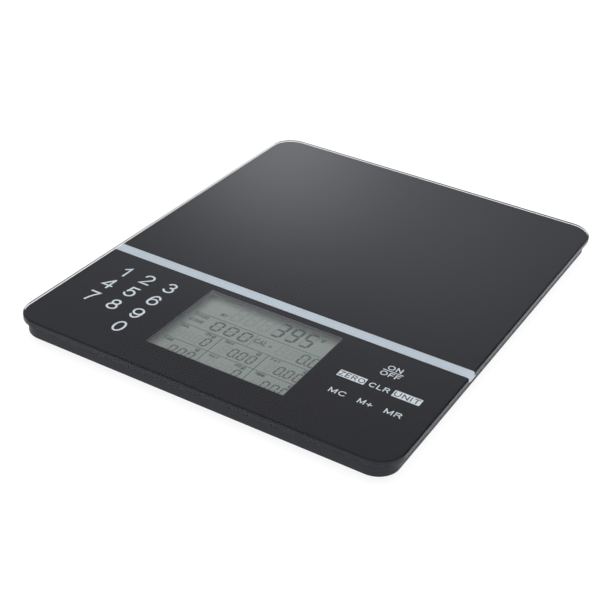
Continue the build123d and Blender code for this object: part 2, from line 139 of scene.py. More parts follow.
def add_node(tree, kind, values=None, **links):
    """Adds a node, sets its plain values and links its other inputs. An underscore in a label is a space."""
    node = tree.nodes.new(kind)
    for label, value in (values or {}).items():
        if hasattr(node, label):
            setattr(node, label, value)
        else:
            node.inputs[label].default_value = value
    for label, source in links.items():
        tree.links.new(source, node.inputs[label.replace("_", " ")])
    return node


def combine(tree, operation, *terms):
    """A maths node fed with sockets or numbers."""
    node = add_node(tree, "ShaderNodeMath", {"operation": operation})
    for socket, term in zip(node.inputs, terms):
        if isinstance(term, float):
            socket.default_value = term
        else:
            tree.links.new(term, socket)
    return node.outputs[0]


def map_range(tree, value, start, end, low, high, interpolation="LINEAR"):
    """Maps a value that runs from start to end onto low to high."""
    values = {"From Min": start, "From Max": end, "To Min": low, "To Max": high}
    values["interpolation_type"] = interpolation
    return add_node(tree, "ShaderNodeMapRange", values, Value=value).outputs["Result"]


def new_material(name, base, roughness, values=None):
    """A material with its principled shader, and the tree to add to."""
    material = bpy.data.materials.new(name)
    material.use_nodes = True
    shader = material.node_tree.nodes["Principled BSDF"]
    for label, value in {"Base Color": (*base, 1.0), "Roughness": roughness, **(values or {})}.items():
        shader.inputs[label].default_value = value
    return material, material.node_tree, shader


def scaled_colour(base, factor):
    return tuple(min(1.0, channel * factor) for channel in base) + (1.0,)


def object_place(tree):
    return tree.nodes.new("ShaderNodeTexCoord").outputs["Object"]


def object_noise(tree, scale, detail=3.0, stretch=EVEN):
    """Noise on the object's own coordinates. The scale is in cycles per metre."""
    mapping = add_node(tree, "ShaderNodeMapping", {"Scale": stretch}, Vector=object_place(tree))
    values = {"Scale": scale, "Detail": detail}
    return add_node(tree, "ShaderNodeTexNoise", values, Vector=mapping.outputs["Vector"]).outputs["Fac"]


def ramp(tree, factor, stops, interpolation="LINEAR"):
    """A colour ramp through (position, colour) stops."""
    node = add_node(tree, "ShaderNodeValToRGB", Fac=factor)
    node.color_ramp.interpolation = interpolation
    elements = node.color_ramp.elements
    while len(elements) < len(stops):
        elements.new(0.5)
    for element, (position, value) in zip(elements, stops):
        element.position = position
        element.color = value
    return node.outputs["Color"]


def two_tone(tree, shader, factor, base, low, high):
    """Colours a surface between two shades of its base, each given as (position, brightness)."""
    stops = [(position, scaled_colour(base, brightness)) for position, brightness in (low, high)]
    tree.links.new(ramp(tree, factor, stops), shader.inputs["Base Color"])


def mottle(tree, shader, base, spread, scale):
    """Uneven colour: the base varied by the spread either way."""
    two_tone(tree, shader, object_noise(tree, scale), base, (0.3, 1.0 - spread), (0.7, 1.0 + spread))


def rough_patches(tree, shader, low, high, scale, stretch=EVEN):
    """Roughness that varies between two values."""
    noise = object_noise(tree, scale, 4.0, stretch)
    tree.links.new(map_range(tree, noise, 0.3, 0.7, low, high), shader.inputs["Roughness"])


def relief(tree, shader, height, depth_mm, strength=1.0):
    """Surface relief from a height socket."""
    bump = add_node(tree, "ShaderNodeBump", {"Strength": strength, "Distance": depth_mm * MM}, Height=height)
    tree.links.new(bump.outputs["Normal"], shader.inputs["Normal"])


def grain(tree, shader, scale, depth_mm, strength, stretch=EVEN):
    relief(tree, shader, object_noise(tree, scale, 4.0, stretch), depth_mm, strength)


def clear_glass():
    """Polished glass that lets the lamps through to what lies under it."""
    values = {"Transmission Weight": 1.0, "IOR": 1.5}
    material, tree, shader = new_material("clear_glass", (0.985, 1.0, 0.993), 0.0, values)
    path = tree.nodes.new("ShaderNodeLightPath")
    clear = tree.nodes.new("ShaderNodeBsdfTransparent")
    mix = add_node(tree, "ShaderNodeMixShader", Fac=path.outputs["Is Shadow Ray"])
    tree.links.new(shader.outputs["BSDF"], mix.inputs[1])
    tree.links.new(clear.outputs["BSDF"], mix.inputs[2])
    tree.links.new(mix.outputs["Shader"], tree.nodes["Material Output"].inputs["Surface"])
    return material


def ink(name, base, spread, scale):
    """An ink bonded to glass: slightly uneven, and with no gloss of its own."""
    material, tree, shader = new_material(name, base, 1.0, {"Specular IOR Level": 0.0})
    mottle(tree, shader, base, spread, scale)
    return material, tree, shader


def black_ink(settings):
    return ink("black_ink", settings.glass.black_ink, 0.06, 900.0)[0]


def mark_ink(settings):
    return ink("mark_ink", settings.glass.mark_ink, 0.05, 2500.0)[0]


def band_ink(settings):
    """Pale ink laid down through a slanted halftone screen."""
    base = settings.glass.band_ink
    material, tree, shader = new_material("band_ink", base, 1.0, {"Specular IOR Level": 0.0})
    values = {"bands_direction": "DIAGONAL", "Scale": 420.0, "Distortion": 0.4, "Detail Scale": 2.0}
    wave = add_node(tree, "ShaderNodeTexWave", values, Vector=object_place(tree))
    two_tone(tree, shader, wave.outputs["Fac"], base, (0.15, 0.88), (0.85, 1.08))
    return material


def painted_edge_shade(tree, axis, clear, dark, amount):
    """A painted shadow of the ink: a factor that falls from one to less towards an edge of the display."""
    split = add_node(tree, "ShaderNodeSeparateXYZ", Vector=object_place(tree))
    return map_range(tree, split.outputs[axis], clear, dark, 1.0, 1.0 - amount, "SMOOTHSTEP")


def lcd_colour_with_painted_shade(name, base, mottling=0.08):
    """A liquid crystal colour, slightly uneven, and darkened under the back and left edges of the window by
    painted shadow.
    """
    material, tree, shader = ink(name, base, mottling, 1600.0)
    target = shader.inputs["Base Color"]
    back, left = WINDOW_HIGH.y, WINDOW_LOW.x
    # Painted shadow of the ink's edges, towards the back and the left of the window.
    shades = (
        painted_edge_shade(tree, "Y", back - 9.1 * MM, back - 1.8 * MM, 0.66),
        painted_edge_shade(tree, "X", left + 8.0 * MM, left + 1.4 * MM, 0.69),
    )
    for shade in shades:
        colours = target.links[0].from_socket
        scale = add_node(tree, "ShaderNodeVectorMath", {"operation": "SCALE"}, Vector=colours, Scale=shade)
        tree.links.new(scale.outputs[0], target)
    return material


def moulded_plastic(name, base, roughness=0.42, texture_mm=0.35, gloss=0.5):
    """Moulded plastic with spark-eroded texture."""
    material, tree, shader = new_material(name, base, roughness, {"Specular IOR Level": gloss})
    cycles = 1.0 / (texture_mm * MM)
    mottle(tree, shader, base, 0.07, cycles * 0.15)
    rough_patches(tree, shader, roughness - 0.05, roughness + 0.07, cycles * 0.1)
    grain(tree, shader, cycles, 0.02, 0.5)
    return material


def soft_rubber(name, base):
    """Matt rubber with a dusty bloom."""
    material, tree, shader = new_material(name, base, 0.8)
    mottle(tree, shader, base, 0.2, 500.0)
    rough_patches(tree, shader, 0.7, 0.9, 700.0)
    grain(tree, shader, 2200.0, 0.03, 0.5)
    return material


def worked_metal(name, base, roughness, stretch=EVEN):
    """Metal with drawn or rolled lines along one direction."""
    material, tree, shader = new_material(name, base, roughness, {"Metallic": 1.0})
    mottle(tree, shader, base, 0.06, 300.0)
    rough_patches(tree, shader, roughness - 0.06, roughness + 0.1, 900.0, stretch)
    grain(tree, shader, 1800.0, 0.006, 0.4, stretch)
    return material


def circuit_laminate(settings):
    """Solder mask over copper tracks: the tracks show as paler lines."""
    base = settings.body.board
    material, tree, shader = new_material("circuit_laminate", base, 0.35)
    values = {"Scale": 260.0, "Mortar Size": 0.03}
    for label, factor in (("Color1", 0.9), ("Color2", 1.15), ("Mortar", 1.9)):
        values[label] = scaled_colour(base, factor)
    bricks = add_node(tree, "ShaderNodeTexBrick", values, Vector=object_place(tree))
    tree.links.new(bricks.outputs["Color"], shader.inputs["Base Color"])
    relief(tree, shader, bricks.outputs["Fac"], 0.03)
    return material


def wire_insulation():
    """Three insulation colours, one for each wire of a bundle."""
    material, tree, shader = new_material("wire_insulation", (0.4, 0.02, 0.02), 0.35)
    island = tree.nodes.new("ShaderNodeNewGeometry").outputs["Random Per Island"]
    colours = ((0.42, 0.02, 0.015, 1.0), (0.015, 0.015, 0.017, 1.0), (0.72, 0.72, 0.70, 1.0))
    stops = tuple(zip((0.0, 0.34, 0.67), colours))
    tree.links.new(ramp(tree, island, stops, "CONSTANT"), shader.inputs["Base Color"])
    rough_patches(tree, shader, 0.3, 0.45, 900.0)
    return material


def ribbon_film():
    """White ribbon with its conductors showing through as grey lines."""
    white, grey = (0.75, 0.75, 0.73), (0.45, 0.45, 0.46)
    material, tree, shader = new_material("ribbon_film", white, 0.4)
    wave = add_node(tree, "ShaderNodeTexWave", {"bands_direction": "Y", "Scale": 160.0}, Vector=object_place(tree))
    stops = ((0.35, (*white, 1.0)), (0.65, (*grey, 1.0)))
    tree.links.new(ramp(tree, wave.outputs["Fac"], stops), shader.inputs["Base Color"])
    return material


def pane_glass():
    """Thin display glass."""
    material, tree, shader = new_material("pane_glass", (0.93, 0.97, 0.95), 0.02, {"Transmission Weight": 1.0})
    grain(tree, shader, 60.0, 0.002, 0.1)
    return material


# ---- mesh tools


def add_object(name, mesh, material=None):
    """Puts a mesh in the scene as a piece at the origin."""
    piece = bpy.data.objects.new(name, mesh)
    bpy.context.scene.collection.objects.link(piece)
    if material:
        mesh.materials.clear()
        mesh.materials.append(material)
    return piece


def hold(name, mesh, material, replaced=(), body=HOUSING):
    """Makes a finished mesh a piece, with its CAD body and the nodes it stands for."""
    piece = add_object(name, mesh, material)
    if replaced:
        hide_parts(*replaced)
    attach(piece, body)


def evaluated_mesh(carrier):
    """What a passing object evaluates to, as a plain mesh. The object is removed."""
    bpy.context.view_layer.update()
    depsgraph = bpy.context.evaluated_depsgraph_get()
    mesh = bpy.data.meshes.new_from_object(carrier.evaluated_get(depsgraph))
    bpy.data.objects.remove(carrier)
    return mesh


def finished(solid, name, outwards=True):
    """A working mesh made a mesh of its own, with its faces turned outwards if asked."""
    if outwards:
        bmesh.ops.recalc_face_normals(solid, faces=solid.faces)
    mesh = bpy.data.meshes.new(name)
    solid.to_mesh(mesh)
    solid.free()
    return mesh


def add_wall(solid, lower, upper):
    """Faces between two closed lines of vertices, one above the other."""
    pairs = list(zip(lower, upper))
    return [solid.faces.new((a, c, d, b)) for (a, b), (c, d) in zip(pairs, pairs[1:] + pairs[:1])]


def rounded_outline(width, depth, radius, steps=16, centre=(0.0, 0.0)):
    """Corner points of a rounded rectangle, anticlockwise."""
    points = []
    corners = ((1, 1, 0.0), (-1, 1, 90.0), (-1, -1, 180.0), (1, -1, 270.0))
    for side_x, side_y, start in corners:
        for step in range(steps + 1):
            angle = math.radians(start + 90.0 * step / steps)
            x = side_x * (width / 2 - radius) + radius * math.cos(angle)
            y = side_y * (depth / 2 - radius) + radius * math.sin(angle)
            points.append((centre[0] + x, centre[1] + y))
    return points


def lofted(name, rings, crisp):
    """A closed solid through rings of equal point counts, from the bottom up, with some rings kept crisp."""
    shell = bmesh.new()
    loops = [[shell.verts.new(point) for point in ring] for ring in rings]
    for lower, upper in zip(loops, loops[1:]):
        for face in add_wall(shell, lower, upper):
            face.smooth = True
    shell.faces.new(loops[-1])
    shell.faces.new(list(reversed(loops[0])))
    for level in crisp:
        for ends in zip(loops[level], loops[level][1:] + loops[level][:1]):
            shell.edges.get(ends).smooth = False
    return finished(shell, name, outwards=False)


def sheet_mesh(name, outlines, low, high):
    """A thin plate from closed outlines in the plan. An outline inside another is a hole."""
    curve = bpy.data.curves.new(name, "CURVE")
    curve.dimensions = "2D"
    curve.fill_mode = "BOTH"
    curve.extrude = (high - low) / 2
    for outline in outlines:
        spline = curve.splines.new("POLY")
        spline.points.add(len(outline) - 1)
        for point, (x, y) in zip(spline.points, outline):
            point.co = (x, y, 0.0, 1.0)
        spline.use_cyclic_u = True
    return curve_to_mesh(name, curve, (low + high) / 2)


def curve_to_mesh(name, curve, height):
    """A flat curve or a text made a plain mesh, then lifted to its height."""
    mesh = evaluated_mesh(add_object(name, curve))
    bpy.data.curves.remove(curve)
    welded = bmesh.new()
    welded.from_mesh(mesh)
    bmesh.ops.remove_doubles(welded, verts=welded.verts, dist=1e-7)
    bmesh.ops.recalc_face_normals(welded, faces=welded.faces)
    welded.to_mesh(mesh)
    welded.free()
    mesh.transform(Matrix.Translation((0.0, 0.0, height)))
    return mesh


def arc(centre_x, centre_y, radius_x, radius_y, start, end):
    """Points along part of an ellipse, from one angle to another in degrees."""
    steps = max(4, round(abs(end - start) / 12))
    angles = [math.radians(start + (end - start) * step / steps) for step in range(steps + 1)]
    return [(centre_x + radius_x * math.cos(a), centre_y + radius_y * math.sin(a)) for a in angles]


RING = arc(0.5, 0.5, 0.5, 0.5, 0, 360)
UPRIGHT = [(0, 0), (0, 1)]
FAR_UPRIGHT = [(1, 0), (1, 1)]
# Every character as its width over its height, then its strokes in a box one wide and one high.
GLYPHS = {
    "0": (0.62, [RING]),
    "1": (0.30, [[(0, 0.74), (0.5, 0.84), (1, 1), (1, 0)]]),
    "2": (0.62, [arc(0.5, 0.71, 0.47, 0.29, 168, -35) + [(0.02, 0), (1, 0)]]),
    "3": (0.60, [arc(0.47, 0.76, 0.42, 0.24, 160, -85), arc(0.48, 0.27, 0.5, 0.27, 88, -162)]),
    "4": (0.66, [[(0.74, 0), (0.74, 1)], [(0.70, 0.98), (0, 0.3), (1, 0.3)]]),
    "5": (0.60, [[(0.92, 1), (0.18, 1), (0.07, 0.50)], arc(0.46, 0.33, 0.52, 0.33, 142, -160)]),
    "6": (0.62, [arc(0.5, 0.31, 0.5, 0.31, 0, 360), arc(0.5, 0.5, 0.5, 0.5, 32, 180) + [(0, 0.31)]]),
    "7": (0.60, [[(0, 1), (1, 1), (0.62, 0.56), (0.42, 0.26), (0.34, 0)]]),
    "8": (0.62, [arc(0.5, 0.77, 0.4, 0.23, 0, 360), arc(0.5, 0.27, 0.5, 0.27, 0, 360)]),
    "9": (0.62, [arc(0.5, 0.69, 0.5, 0.31, 0, 360), arc(0.5, 0.5, 0.5, 0.5, 212, 360) + [(1, 0.69)]]),
    "A": (0.80, [[(0, 0), (0.5, 1), (1, 0)], [(0.18, 0.34), (0.82, 0.34)]]),
    "B": (0.66, [[(0, 0.5), (0, 1)] + arc(0.5, 0.76, 0.4, 0.24, 90, -90) + [(0, 0.5)],
                 [(0, 0.5)] + arc(0.5, 0.26, 0.5, 0.26, 90, -90) + [(0, 0), (0, 0.5)]]),
    "C": (0.86, [arc(0.52, 0.5, 0.52, 0.5, 42, 318)]),
    "D": (0.76, [UPRIGHT + arc(0.42, 0.5, 0.58, 0.5, 90, -90) + [(0, 0)]]),
    "E": (0.68, [[(1, 1), (0, 1), (0, 0), (1, 0)], [(0, 0.52), (0.9, 0.52)]]),
    "F": (0.62, [[(0, 0), (0, 1), (1, 1)], [(0, 0.5), (0.88, 0.5)]]),
    "H": (0.74, [UPRIGHT, FAR_UPRIGHT, [(0, 0.5), (1, 0.5)]]),
    "I": (0, [UPRIGHT]),
    "L": (0.60, [[(0, 1), (0, 0), (1, 0)]]),
    "M": (0.88, [UPRIGHT, [(0.02, 1), (0.5, 0.08), (0.98, 1)], [(1, 1), (1, 0)]]),
    "N": (0.76, [UPRIGHT, [(0.02, 1), (0.98, 0)], FAR_UPRIGHT]),
    "O": (0.96, [RING]),
    "P": (0.68, [UPRIGHT + arc(0.6, 0.75, 0.4, 0.25, 90, -90) + [(0, 0.5)]]),
    "R": (0.74, [UPRIGHT + arc(0.6, 0.76, 0.34, 0.24, 90, -90) + [(0, 0.52)],
                 [(0.55, 0.5), (1, 0)]]),
    "S": (0.68, [arc(0.5, 0.75, 0.46, 0.25, 25, 265) + arc(0.5, 0.25, 0.5, 0.25, 85, -160)]),
    "T": (0.72, [[(0, 1), (1, 1)], [(0.5, 0.97), (0.5, 0)]]),
    "U": (0.76, [[(0, 1)] + arc(0.5, 0.36, 0.5, 0.36, 180, 360) + [(1, 1)]]),
    "Z": (0.72, [[(0, 1), (1, 1), (0, 0), (1, 0)]]),
    "+": (0.72, [[(0, 0.38), (1, 0.38)], [(0.5, 0), (0.5, 0.76)]]),
    "=": (0.80, [[(0, 0.2), (1, 0.2)], [(0, 0.8), (1, 0.8)]]),
    "g": (0.62, [arc(0.5, 0.64, 0.5, 0.36, 0, 360), [(1, 1)] + arc(0.5, 0.25, 0.5, 0.25, 0, -150)]),
    "m": (1.10, [[(0, 0.25)] + arc(0.25, 0.8, 0.25, 0.2, 180, 0) + [(0.5, 0.25)],
                 [(0.5, 0.8)] + arc(0.75, 0.8, 0.25, 0.2, 180, 0) + [(1, 0.25)]]),
}
LETTER_GAP = 0.24


def stroke_sides(points, width):
    """The two sides of a stroke drawn along a line, with mitred corners and square ends."""
    path = [Vector(point) for point in points]
    closed = (path[0] - path[-1]).length < 1e-7
    if closed:
        path.pop()
    else:
        path[0] = path[0] + (path[0] - path[1]).normalized() * width / 2
        path[-1] = path[-1] + (path[-1] - path[-2]).normalized() * width / 2
    left, right = [], []
    for index, point in enumerate(path):
        before = path[index - 1] if closed or index else point
        after = path[(index + 1) % len(path)] if closed or index < len(path) - 1 else point
        arriving = (point - before if index or closed else after - point).normalized()
        leaving = (after - point if closed or index < len(path) - 1 else point - before).normalized()
        along = (arriving + leaving).normalized()
        reach = width / 2 / max(0.5, along.dot(leaving))
        aside = Vector((-along.y, along.x)) * reach
        left.append(point + aside)
        right.append(point - aside)
    return left, right, closed


def add_stroke(solid, points, width, low, high):
    """Adds one stroke to a mesh as a closed flat bar."""
    left, right, closed = stroke_sides(points, width)
    rails = []
    for side, level in ((left, low), (right, low), (right, high), (left, high)):
        rails.append([solid.verts.new((point.x, point.y, level)) for point in side])
    count = len(left)
    for index in range(count if closed else count - 1):
        after = (index + 1) % count
        for near, far in zip(rails, rails[1:] + rails[:1]):
            solid.faces.new((near[index], far[index], far[after], near[after]))
    if not closed:
        solid.faces.new([rail[0] for rail in reversed(rails)])
        solid.faces.new([rail[-1] for rail in rails])


def lettering(text, centre, height, stroke, low, high, width=None):
    """Flat lettering centred on a point of the plan. All lengths are in metres."""
    reach = height - stroke
    advances = [GLYPHS[character][0] * reach for character in text]
    gap = LETTER_GAP * reach + stroke
    total = sum(advances) + gap * (len(text) - 1) + stroke
    stretch = (width - stroke) / max(1e-9, total - stroke) if width and total > stroke else 1.0
    x = centre[0] - (total - stroke) * stretch / 2
    bottom = centre[1] - reach / 2
    solid = bmesh.new()
    for character, advance in zip(text, advances):
        for order, line in enumerate(GLYPHS[character][1]):
            points = [(x + px * advance * stretch, bottom + py * reach) for px, py in line]
            add_stroke(solid, points, stroke, low + order * STROKE_STEP, high + order * STROKE_STEP)
        x += (advance + gap) * stretch
    return finished(solid, "lettering")


def prisms(name, polygons, low, high):
    """Separate flat prisms, one for each polygon of the plan."""
    solid = bmesh.new()
    for polygon in polygons:
        lower = [solid.verts.new((x, y, low)) for x, y in polygon]
        upper = [solid.verts.new((x, y, high)) for x, y in polygon]
        solid.faces.new(upper)
        solid.faces.new(list(reversed(lower)))
        add_wall(solid, lower, upper)
    return finished(solid, name)


def joined(name, meshes):
    """Several meshes gathered into one."""
    whole = bmesh.new()
    for mesh in meshes:
        whole.from_mesh(mesh)
        bpy.data.meshes.remove(mesh)
    return finished(whole, name, outwards=False)


def ink_heights(layer):
    return GLASS_LOW.z + layer[0] * MM, GLASS_LOW.z + layer[1] * MM


def from_front(x, y):
    """A point of the plan from its distance right of the middle and behind the front edge, in mm."""
    return x * MM, GLASS_LOW.y + y * MM


# ---- node trees


class NodeTree:
    """A geometry node tree built up step by step, with named inputs."""

    def __init__(self, name, inputs):
        self.tree = bpy.data.node_groups.new(name, "GeometryNodeTree")
        interface = self.tree.interface
        interface.new_socket("Geometry", in_out="INPUT", socket_type="NodeSocketGeometry")
        self.sockets = {}
        for label, value in inputs.items():
            kind = "NodeSocketInt" if isinstance(value, int) else "NodeSocketFloat"
            socket = interface.new_socket(label, in_out="INPUT", socket_type=kind)
            socket.default_value = value
            self.sockets[label] = socket.identifier
        interface.new_socket("Geometry", in_out="OUTPUT", socket_type="NodeSocketGeometry")
        self.start = self.tree.nodes.new("NodeGroupInput")
        self.end = self.tree.nodes.new("NodeGroupOutput")

    def add(self, kind, values=None, **links):
        return add_node(self.tree, kind, values, **links)

    def close(self, shape, material):
        """Puts the shape on each point as real geometry, sets its material and ends the tree."""
        placed = self.add("GeometryNodeInstanceOnPoints", Points=self.start.outputs[0], Instance=shape)
        realised = self.add("GeometryNodeRealizeInstances", Geometry=placed.outputs[0])
        painted = self.add("GeometryNodeSetMaterial", {"Material": material}, Geometry=realised.outputs[0])
        self.tree.links.new(painted.outputs[0], self.end.inputs[0])

    def made_mesh(self, name, points, values=None):
        """The tree's result on loose points, as a plain mesh."""
        mesh = bpy.data.meshes.new(name)
        mesh.from_pydata(points, [], [])
        carrier = add_object(name, mesh)
        modifier = carrier.modifiers.new(name, "NODES")
        modifier.node_group = self.tree
        for label, value in (values or {}).items():
            modifier[self.sockets[label]] = value
        return evaluated_mesh(carrier)


# ---- glass top


class SCALE_OT_glass_plate(bpy.types.Operator):
    """Makes the glass plate with its ground and polished edge"""

    bl_idname = "scale.glass_plate"
    bl_label = "Glass Plate"

    def execute(self, context):
        glass = context.scene.scale_settings.glass
        size = GLASS_HIGH - GLASS_LOW
        arris, lower_arris = glass.arris * MM, glass.lower_arris * MM
        # How far in from the widest outline, and how high, each level of the edge lies.
        profile = [(lower_arris, GLASS_LOW.z), (0.0, GLASS_LOW.z + lower_arris)]
        steps = 8
        for step in range(steps + 1):
            angle = math.radians(90.0 * step / steps)
            profile.append((arris * (1 - math.cos(angle)), GLASS_HIGH.z - arris * (1 - math.sin(angle))))
        rings = []
        for inset, z in profile:
            corner = glass.corner_radius * MM - inset
            outline = rounded_outline(size.x - 2 * inset, size.y - 2 * inset, corner)
            rings.append([(x, y, z) for x, y in outline])
        crisp = (0, 1, 2, len(profile) - 1)
        plate = lofted("glass_plate", rings, crisp)
        hold("glass_plate", plate, clear_glass(), ("glass_platform",))
        return {"FINISHED"}


class SCALE_OT_black_print(bpy.types.Operator):
    """Prints the black ink that covers all but the display window"""

    bl_idname = "scale.black_print"
    bl_label = "Black Print"

    def execute(self, context):
        settings = context.scene.scale_settings
        glass = settings.glass
        margin = glass.ink_margin * MM
        width = GLASS_HIGH.x - GLASS_LOW.x - 2 * margin
        depth = GLASS_HIGH.y - GLASS_LOW.y - 2 * margin
        outer = rounded_outline(width, depth, glass.corner_radius * MM - margin)
        window_centre = (0.0, (WINDOW_LOW.y + WINDOW_HIGH.y) / 2)
        opening = (glass.window_width * MM, glass.window_depth * MM)
        window = rounded_outline(*opening, 0.6 * MM, 4, window_centre)
        sheet = sheet_mesh("black_print", [outer, window], *ink_heights(BLACK_INK))
        hold("black_print", sheet, black_ink(settings), ("black_backprint",))
        return {"FINISHED"}


class SCALE_OT_pale_band(bpy.types.Operator):
    """Prints the pale band across the glass behind the display"""

    bl_idname = "scale.pale_band"
    bl_label = "Pale Band"

    def execute(self, context):
        settings = context.scene.scale_settings
        reach = GLASS_HIGH.x - settings.glass.ink_margin * MM
        outline = bar(-reach, BAND_LOW.y, reach, BAND_HIGH.y)
        mesh = prisms("pale_band", [outline], *ink_heights(PALE_INK))
        hold("pale_band", mesh, band_ink(settings), ("silver_band",))
        return {"FINISHED"}


class SCALE_OT_number_marks(bpy.types.Operator):
    """Prints the number keys to the left of the display"""

    bl_idname = "scale.number_marks"
    bl_label = "Number Marks"

    def execute(self, context):
        settings = context.scene.scale_settings
        glass = settings.glass
        last_x, back_y, row_pitch = -51.35, 60.0, 12.93
        height, stroke = glass.digit_height * MM, glass.digit_stroke * MM
        meshes = []
        for row, digits in enumerate(("123", "456", "789", "  0")):
            for column, digit in enumerate(digits):
                if digit != " ":
                    place = from_front(last_x - (2 - column) * glass.key_pitch, back_y - row * row_pitch)
                    meshes.append(lettering(digit, place, height, stroke, *ink_heights(PALE_INK)))
        hold("number_marks", joined("number_marks", meshes), mark_ink(settings))
        return {"FINISHED"}


class SCALE_OT_function_marks(bpy.types.Operator):
    """Prints the function keys to the right of the display"""

    bl_idname = "scale.function_marks"
    bl_label = "Function Marks"

    def execute(self, context):
        settings = context.scene.scale_settings
        glass = settings.glass
        height, stroke = glass.word_height * MM, glass.word_stroke * MM
        pale, top = ink_heights(PALE_INK), ink_heights(TOP_INK)
        switch_y, middle_y, front_y = 59.9, 46.6, 33.7
        columns = [52.3 + count * (glass.key_pitch + 0.1) for count in range(3)]
        words = (
            ("ON", 65.0, switch_y + 2.4, 6.8),
            ("OFF", 65.1, switch_y - 2.75, 9.3),
            ("CLR", 65.4, middle_y - 0.1, 9.5),
            ("MC", 52.4, front_y, 7.9),
            ("M+", 65.5, front_y, 6.7),
            ("MR", 78.4, front_y, 7.7),
        )
        meshes = [
            lettering(word, from_front(x, y), height, stroke, *pale, width * MM)
            for word, x, y, width in words
        ]
        boxes = [rounded_outline(9.8 * MM, 0.5 * MM, 0.1 * MM, 2, from_front(columns[1], switch_y - 0.15))]
        knocked_out = []
        for word, x, width in (("ZERO", columns[0], 12.2), ("UNIT", columns[2] + 0.1, 11.8)):
            place = from_front(x, middle_y)
            boxes.append(rounded_outline(13.0 * MM, 4.7 * MM, 0.15 * MM, 2, place))
            knocked_out.append(lettering(word, place, height, stroke, *top, width * MM))
        meshes.append(prisms("boxes", boxes, *pale))
        hold("function_marks", joined("function_marks", meshes), mark_ink(settings))
        hold("knocked_out_letters", joined("knocked_out", knocked_out), black_ink(settings))
        return {"FINISHED"}


# ---- display

SEGMENTS = {"0": "abcdef", "3": "abgcd", "5": "afgcd", "8": "abcdefg", "9": "abfgcd"}


def lozenge(start, end, across, half, side):
    """A six-sided bar as points along and across it, going round from the given side."""
    near, far = start + half, end - half
    first, last = across - side * half, across + side * half
    return [(start, across), (near, first), (far, first), (end, across), (far, last), (near, last)]


def segment_shapes(character, left, low, width, height, stroke):
    """The lit bars of one seven-segment digit, as six-sided polygons."""
    gap = stroke * 0.12
    half = stroke / 2
    middle = low + height / 2
    rows = {"a": low + height - half, "g": middle, "d": low + half}
    uprights = {
        "f": (left + half, middle, rows["a"]),
        "e": (left + half, rows["d"], middle),
        "b": (left + width - half, middle, rows["a"]),
        "c": (left + width - half, rows["d"], middle),
    }
    shapes = []
    for name in SEGMENTS[character]:
        if name in rows:
            shapes.append(lozenge(left + half + gap, left + width - half - gap, rows[name], half, 1))
        else:
            x, start, end = uprights[name]
            points = lozenge(start + gap, end - gap, x, half, -1)
            shapes.append([(across, along) for along, across in points])
    return shapes


def digit_row(text, row, slant):
    """Digits set leftwards from a right edge and leaning by the slant. A point sits between two digits."""
    right, low, width, height, pitch, stroke = row
    shapes = []
    x = right - width
    for character in reversed(text):
        if character == ".":
            point_x = x + width + (pitch - width) / 2 - stroke / 2
            shapes.append(bar(point_x, low, point_x + stroke, low + stroke))
            continue
        shapes += segment_shapes(character, x, low, width, height, stroke)
        x -= pitch
    middle = low + height / 2
    return [[(x + (y - middle) * math.tan(slant), y) for x, y in shape] for shape in shapes]


def bar(x0, y0, x1, y1):
    return [(x0, y0), (x1, y0), (x1, y1), (x0, y1)]


def on_display(polygons):
    """Polygons in millimetres about the display's middle, moved into the frame."""
    middle_y = (WINDOW_LOW.y + WINDOW_HIGH.y) / 2
    return [[(x * MM, middle_y + y * MM) for x, y in polygon] for polygon in polygons]


class DisplayLayout:
    """Where the display's rules, cells and digits stand, in millimetres about its middle."""

    rows = (8.6, -2.75, -15.35)
    columns = (-9.8, 13.85)
    left, right, bottom = -32.6, 34.4, -24.6
    energy_x = 2.0
    opening = (68.0, 48.6)
    # Right edge, width, pitch and stroke of each group of digits, and the lowest point of the upper two.
    weight = (25.4, 10.9, 5.5, 7.2, 1.2)
    code = (0.35, -0.8, 5.1, 7.25, 1.0)
    energy = (35.5, -0.8, 4.2, 5.55, 0.85)
    cell_rights = (-12.4, 11.1, 34.7)
    cell = (3.4, 4.6, 0.75)
    cell_drop = 4.1
    cells = (
        (("CHOL", "0", "mg"), ("PROT", "0.00", "g"), ("FAT", "0.00", "g")),
        (("CARB", "0.00", "g"), ("SALT", "0", "mg"), ("FIBRE", "0.00", "g")),
    )


def group(entry, height):
    """A group of digits as right edge, low edge, width, height, pitch and stroke."""
    right, low, width, pitch, stroke = entry
    return right, low, width, height, pitch, stroke


def cell_rows(display):
    """The digit groups of the six nutrient cells, with their label, reading and unit."""
    plan = DisplayLayout
    width, pitch, stroke = plan.cell
    height = display.small_height
    for top, cells in zip(plan.rows[1:], plan.cells):
        for right, texts in zip(plan.cell_rights, cells):
            yield (right, top - plan.cell_drop - height, width, height, pitch, stroke), texts


def digit_shapes(display, weight, code, energy, cell=None):
    """The weight's segments, then those of the smaller readings. A cell text stands in for every reading."""
    plan = DisplayLayout
    first = digit_row(weight, group(plan.weight, display.large_height), display.slant)
    rest = digit_row(code, group(plan.code, display.middle_height), display.slant)
    rest += digit_row(energy, group(plan.energy, display.middle_height), display.slant)
    for row, (label, reading, unit) in cell_rows(display):
        rest += digit_row(cell or reading, row, display.slant)
    return first, rest


def rule_shapes(display):
    """The thin rules between rows and columns, and the dotted one before the energy word."""
    plan = DisplayLayout
    half = display.rule_width / 2
    shapes = [bar(plan.left, y - half, plan.right, y + half) for y in plan.rows]
    for x in plan.columns:
        shapes.append(bar(x - half, plan.rows[2] + half, x + half, plan.rows[1] - half))
        shapes.append(bar(x - half, plan.bottom, x + half, plan.rows[2] - half))
    dash, pitch = 0.8, 1.15
    y = plan.rows[1] + half + 0.3
    while y + dash < plan.rows[0] - half:
        shapes.append(bar(plan.energy_x - half, y, plan.energy_x + half, y + dash))
        y += pitch
    return shapes


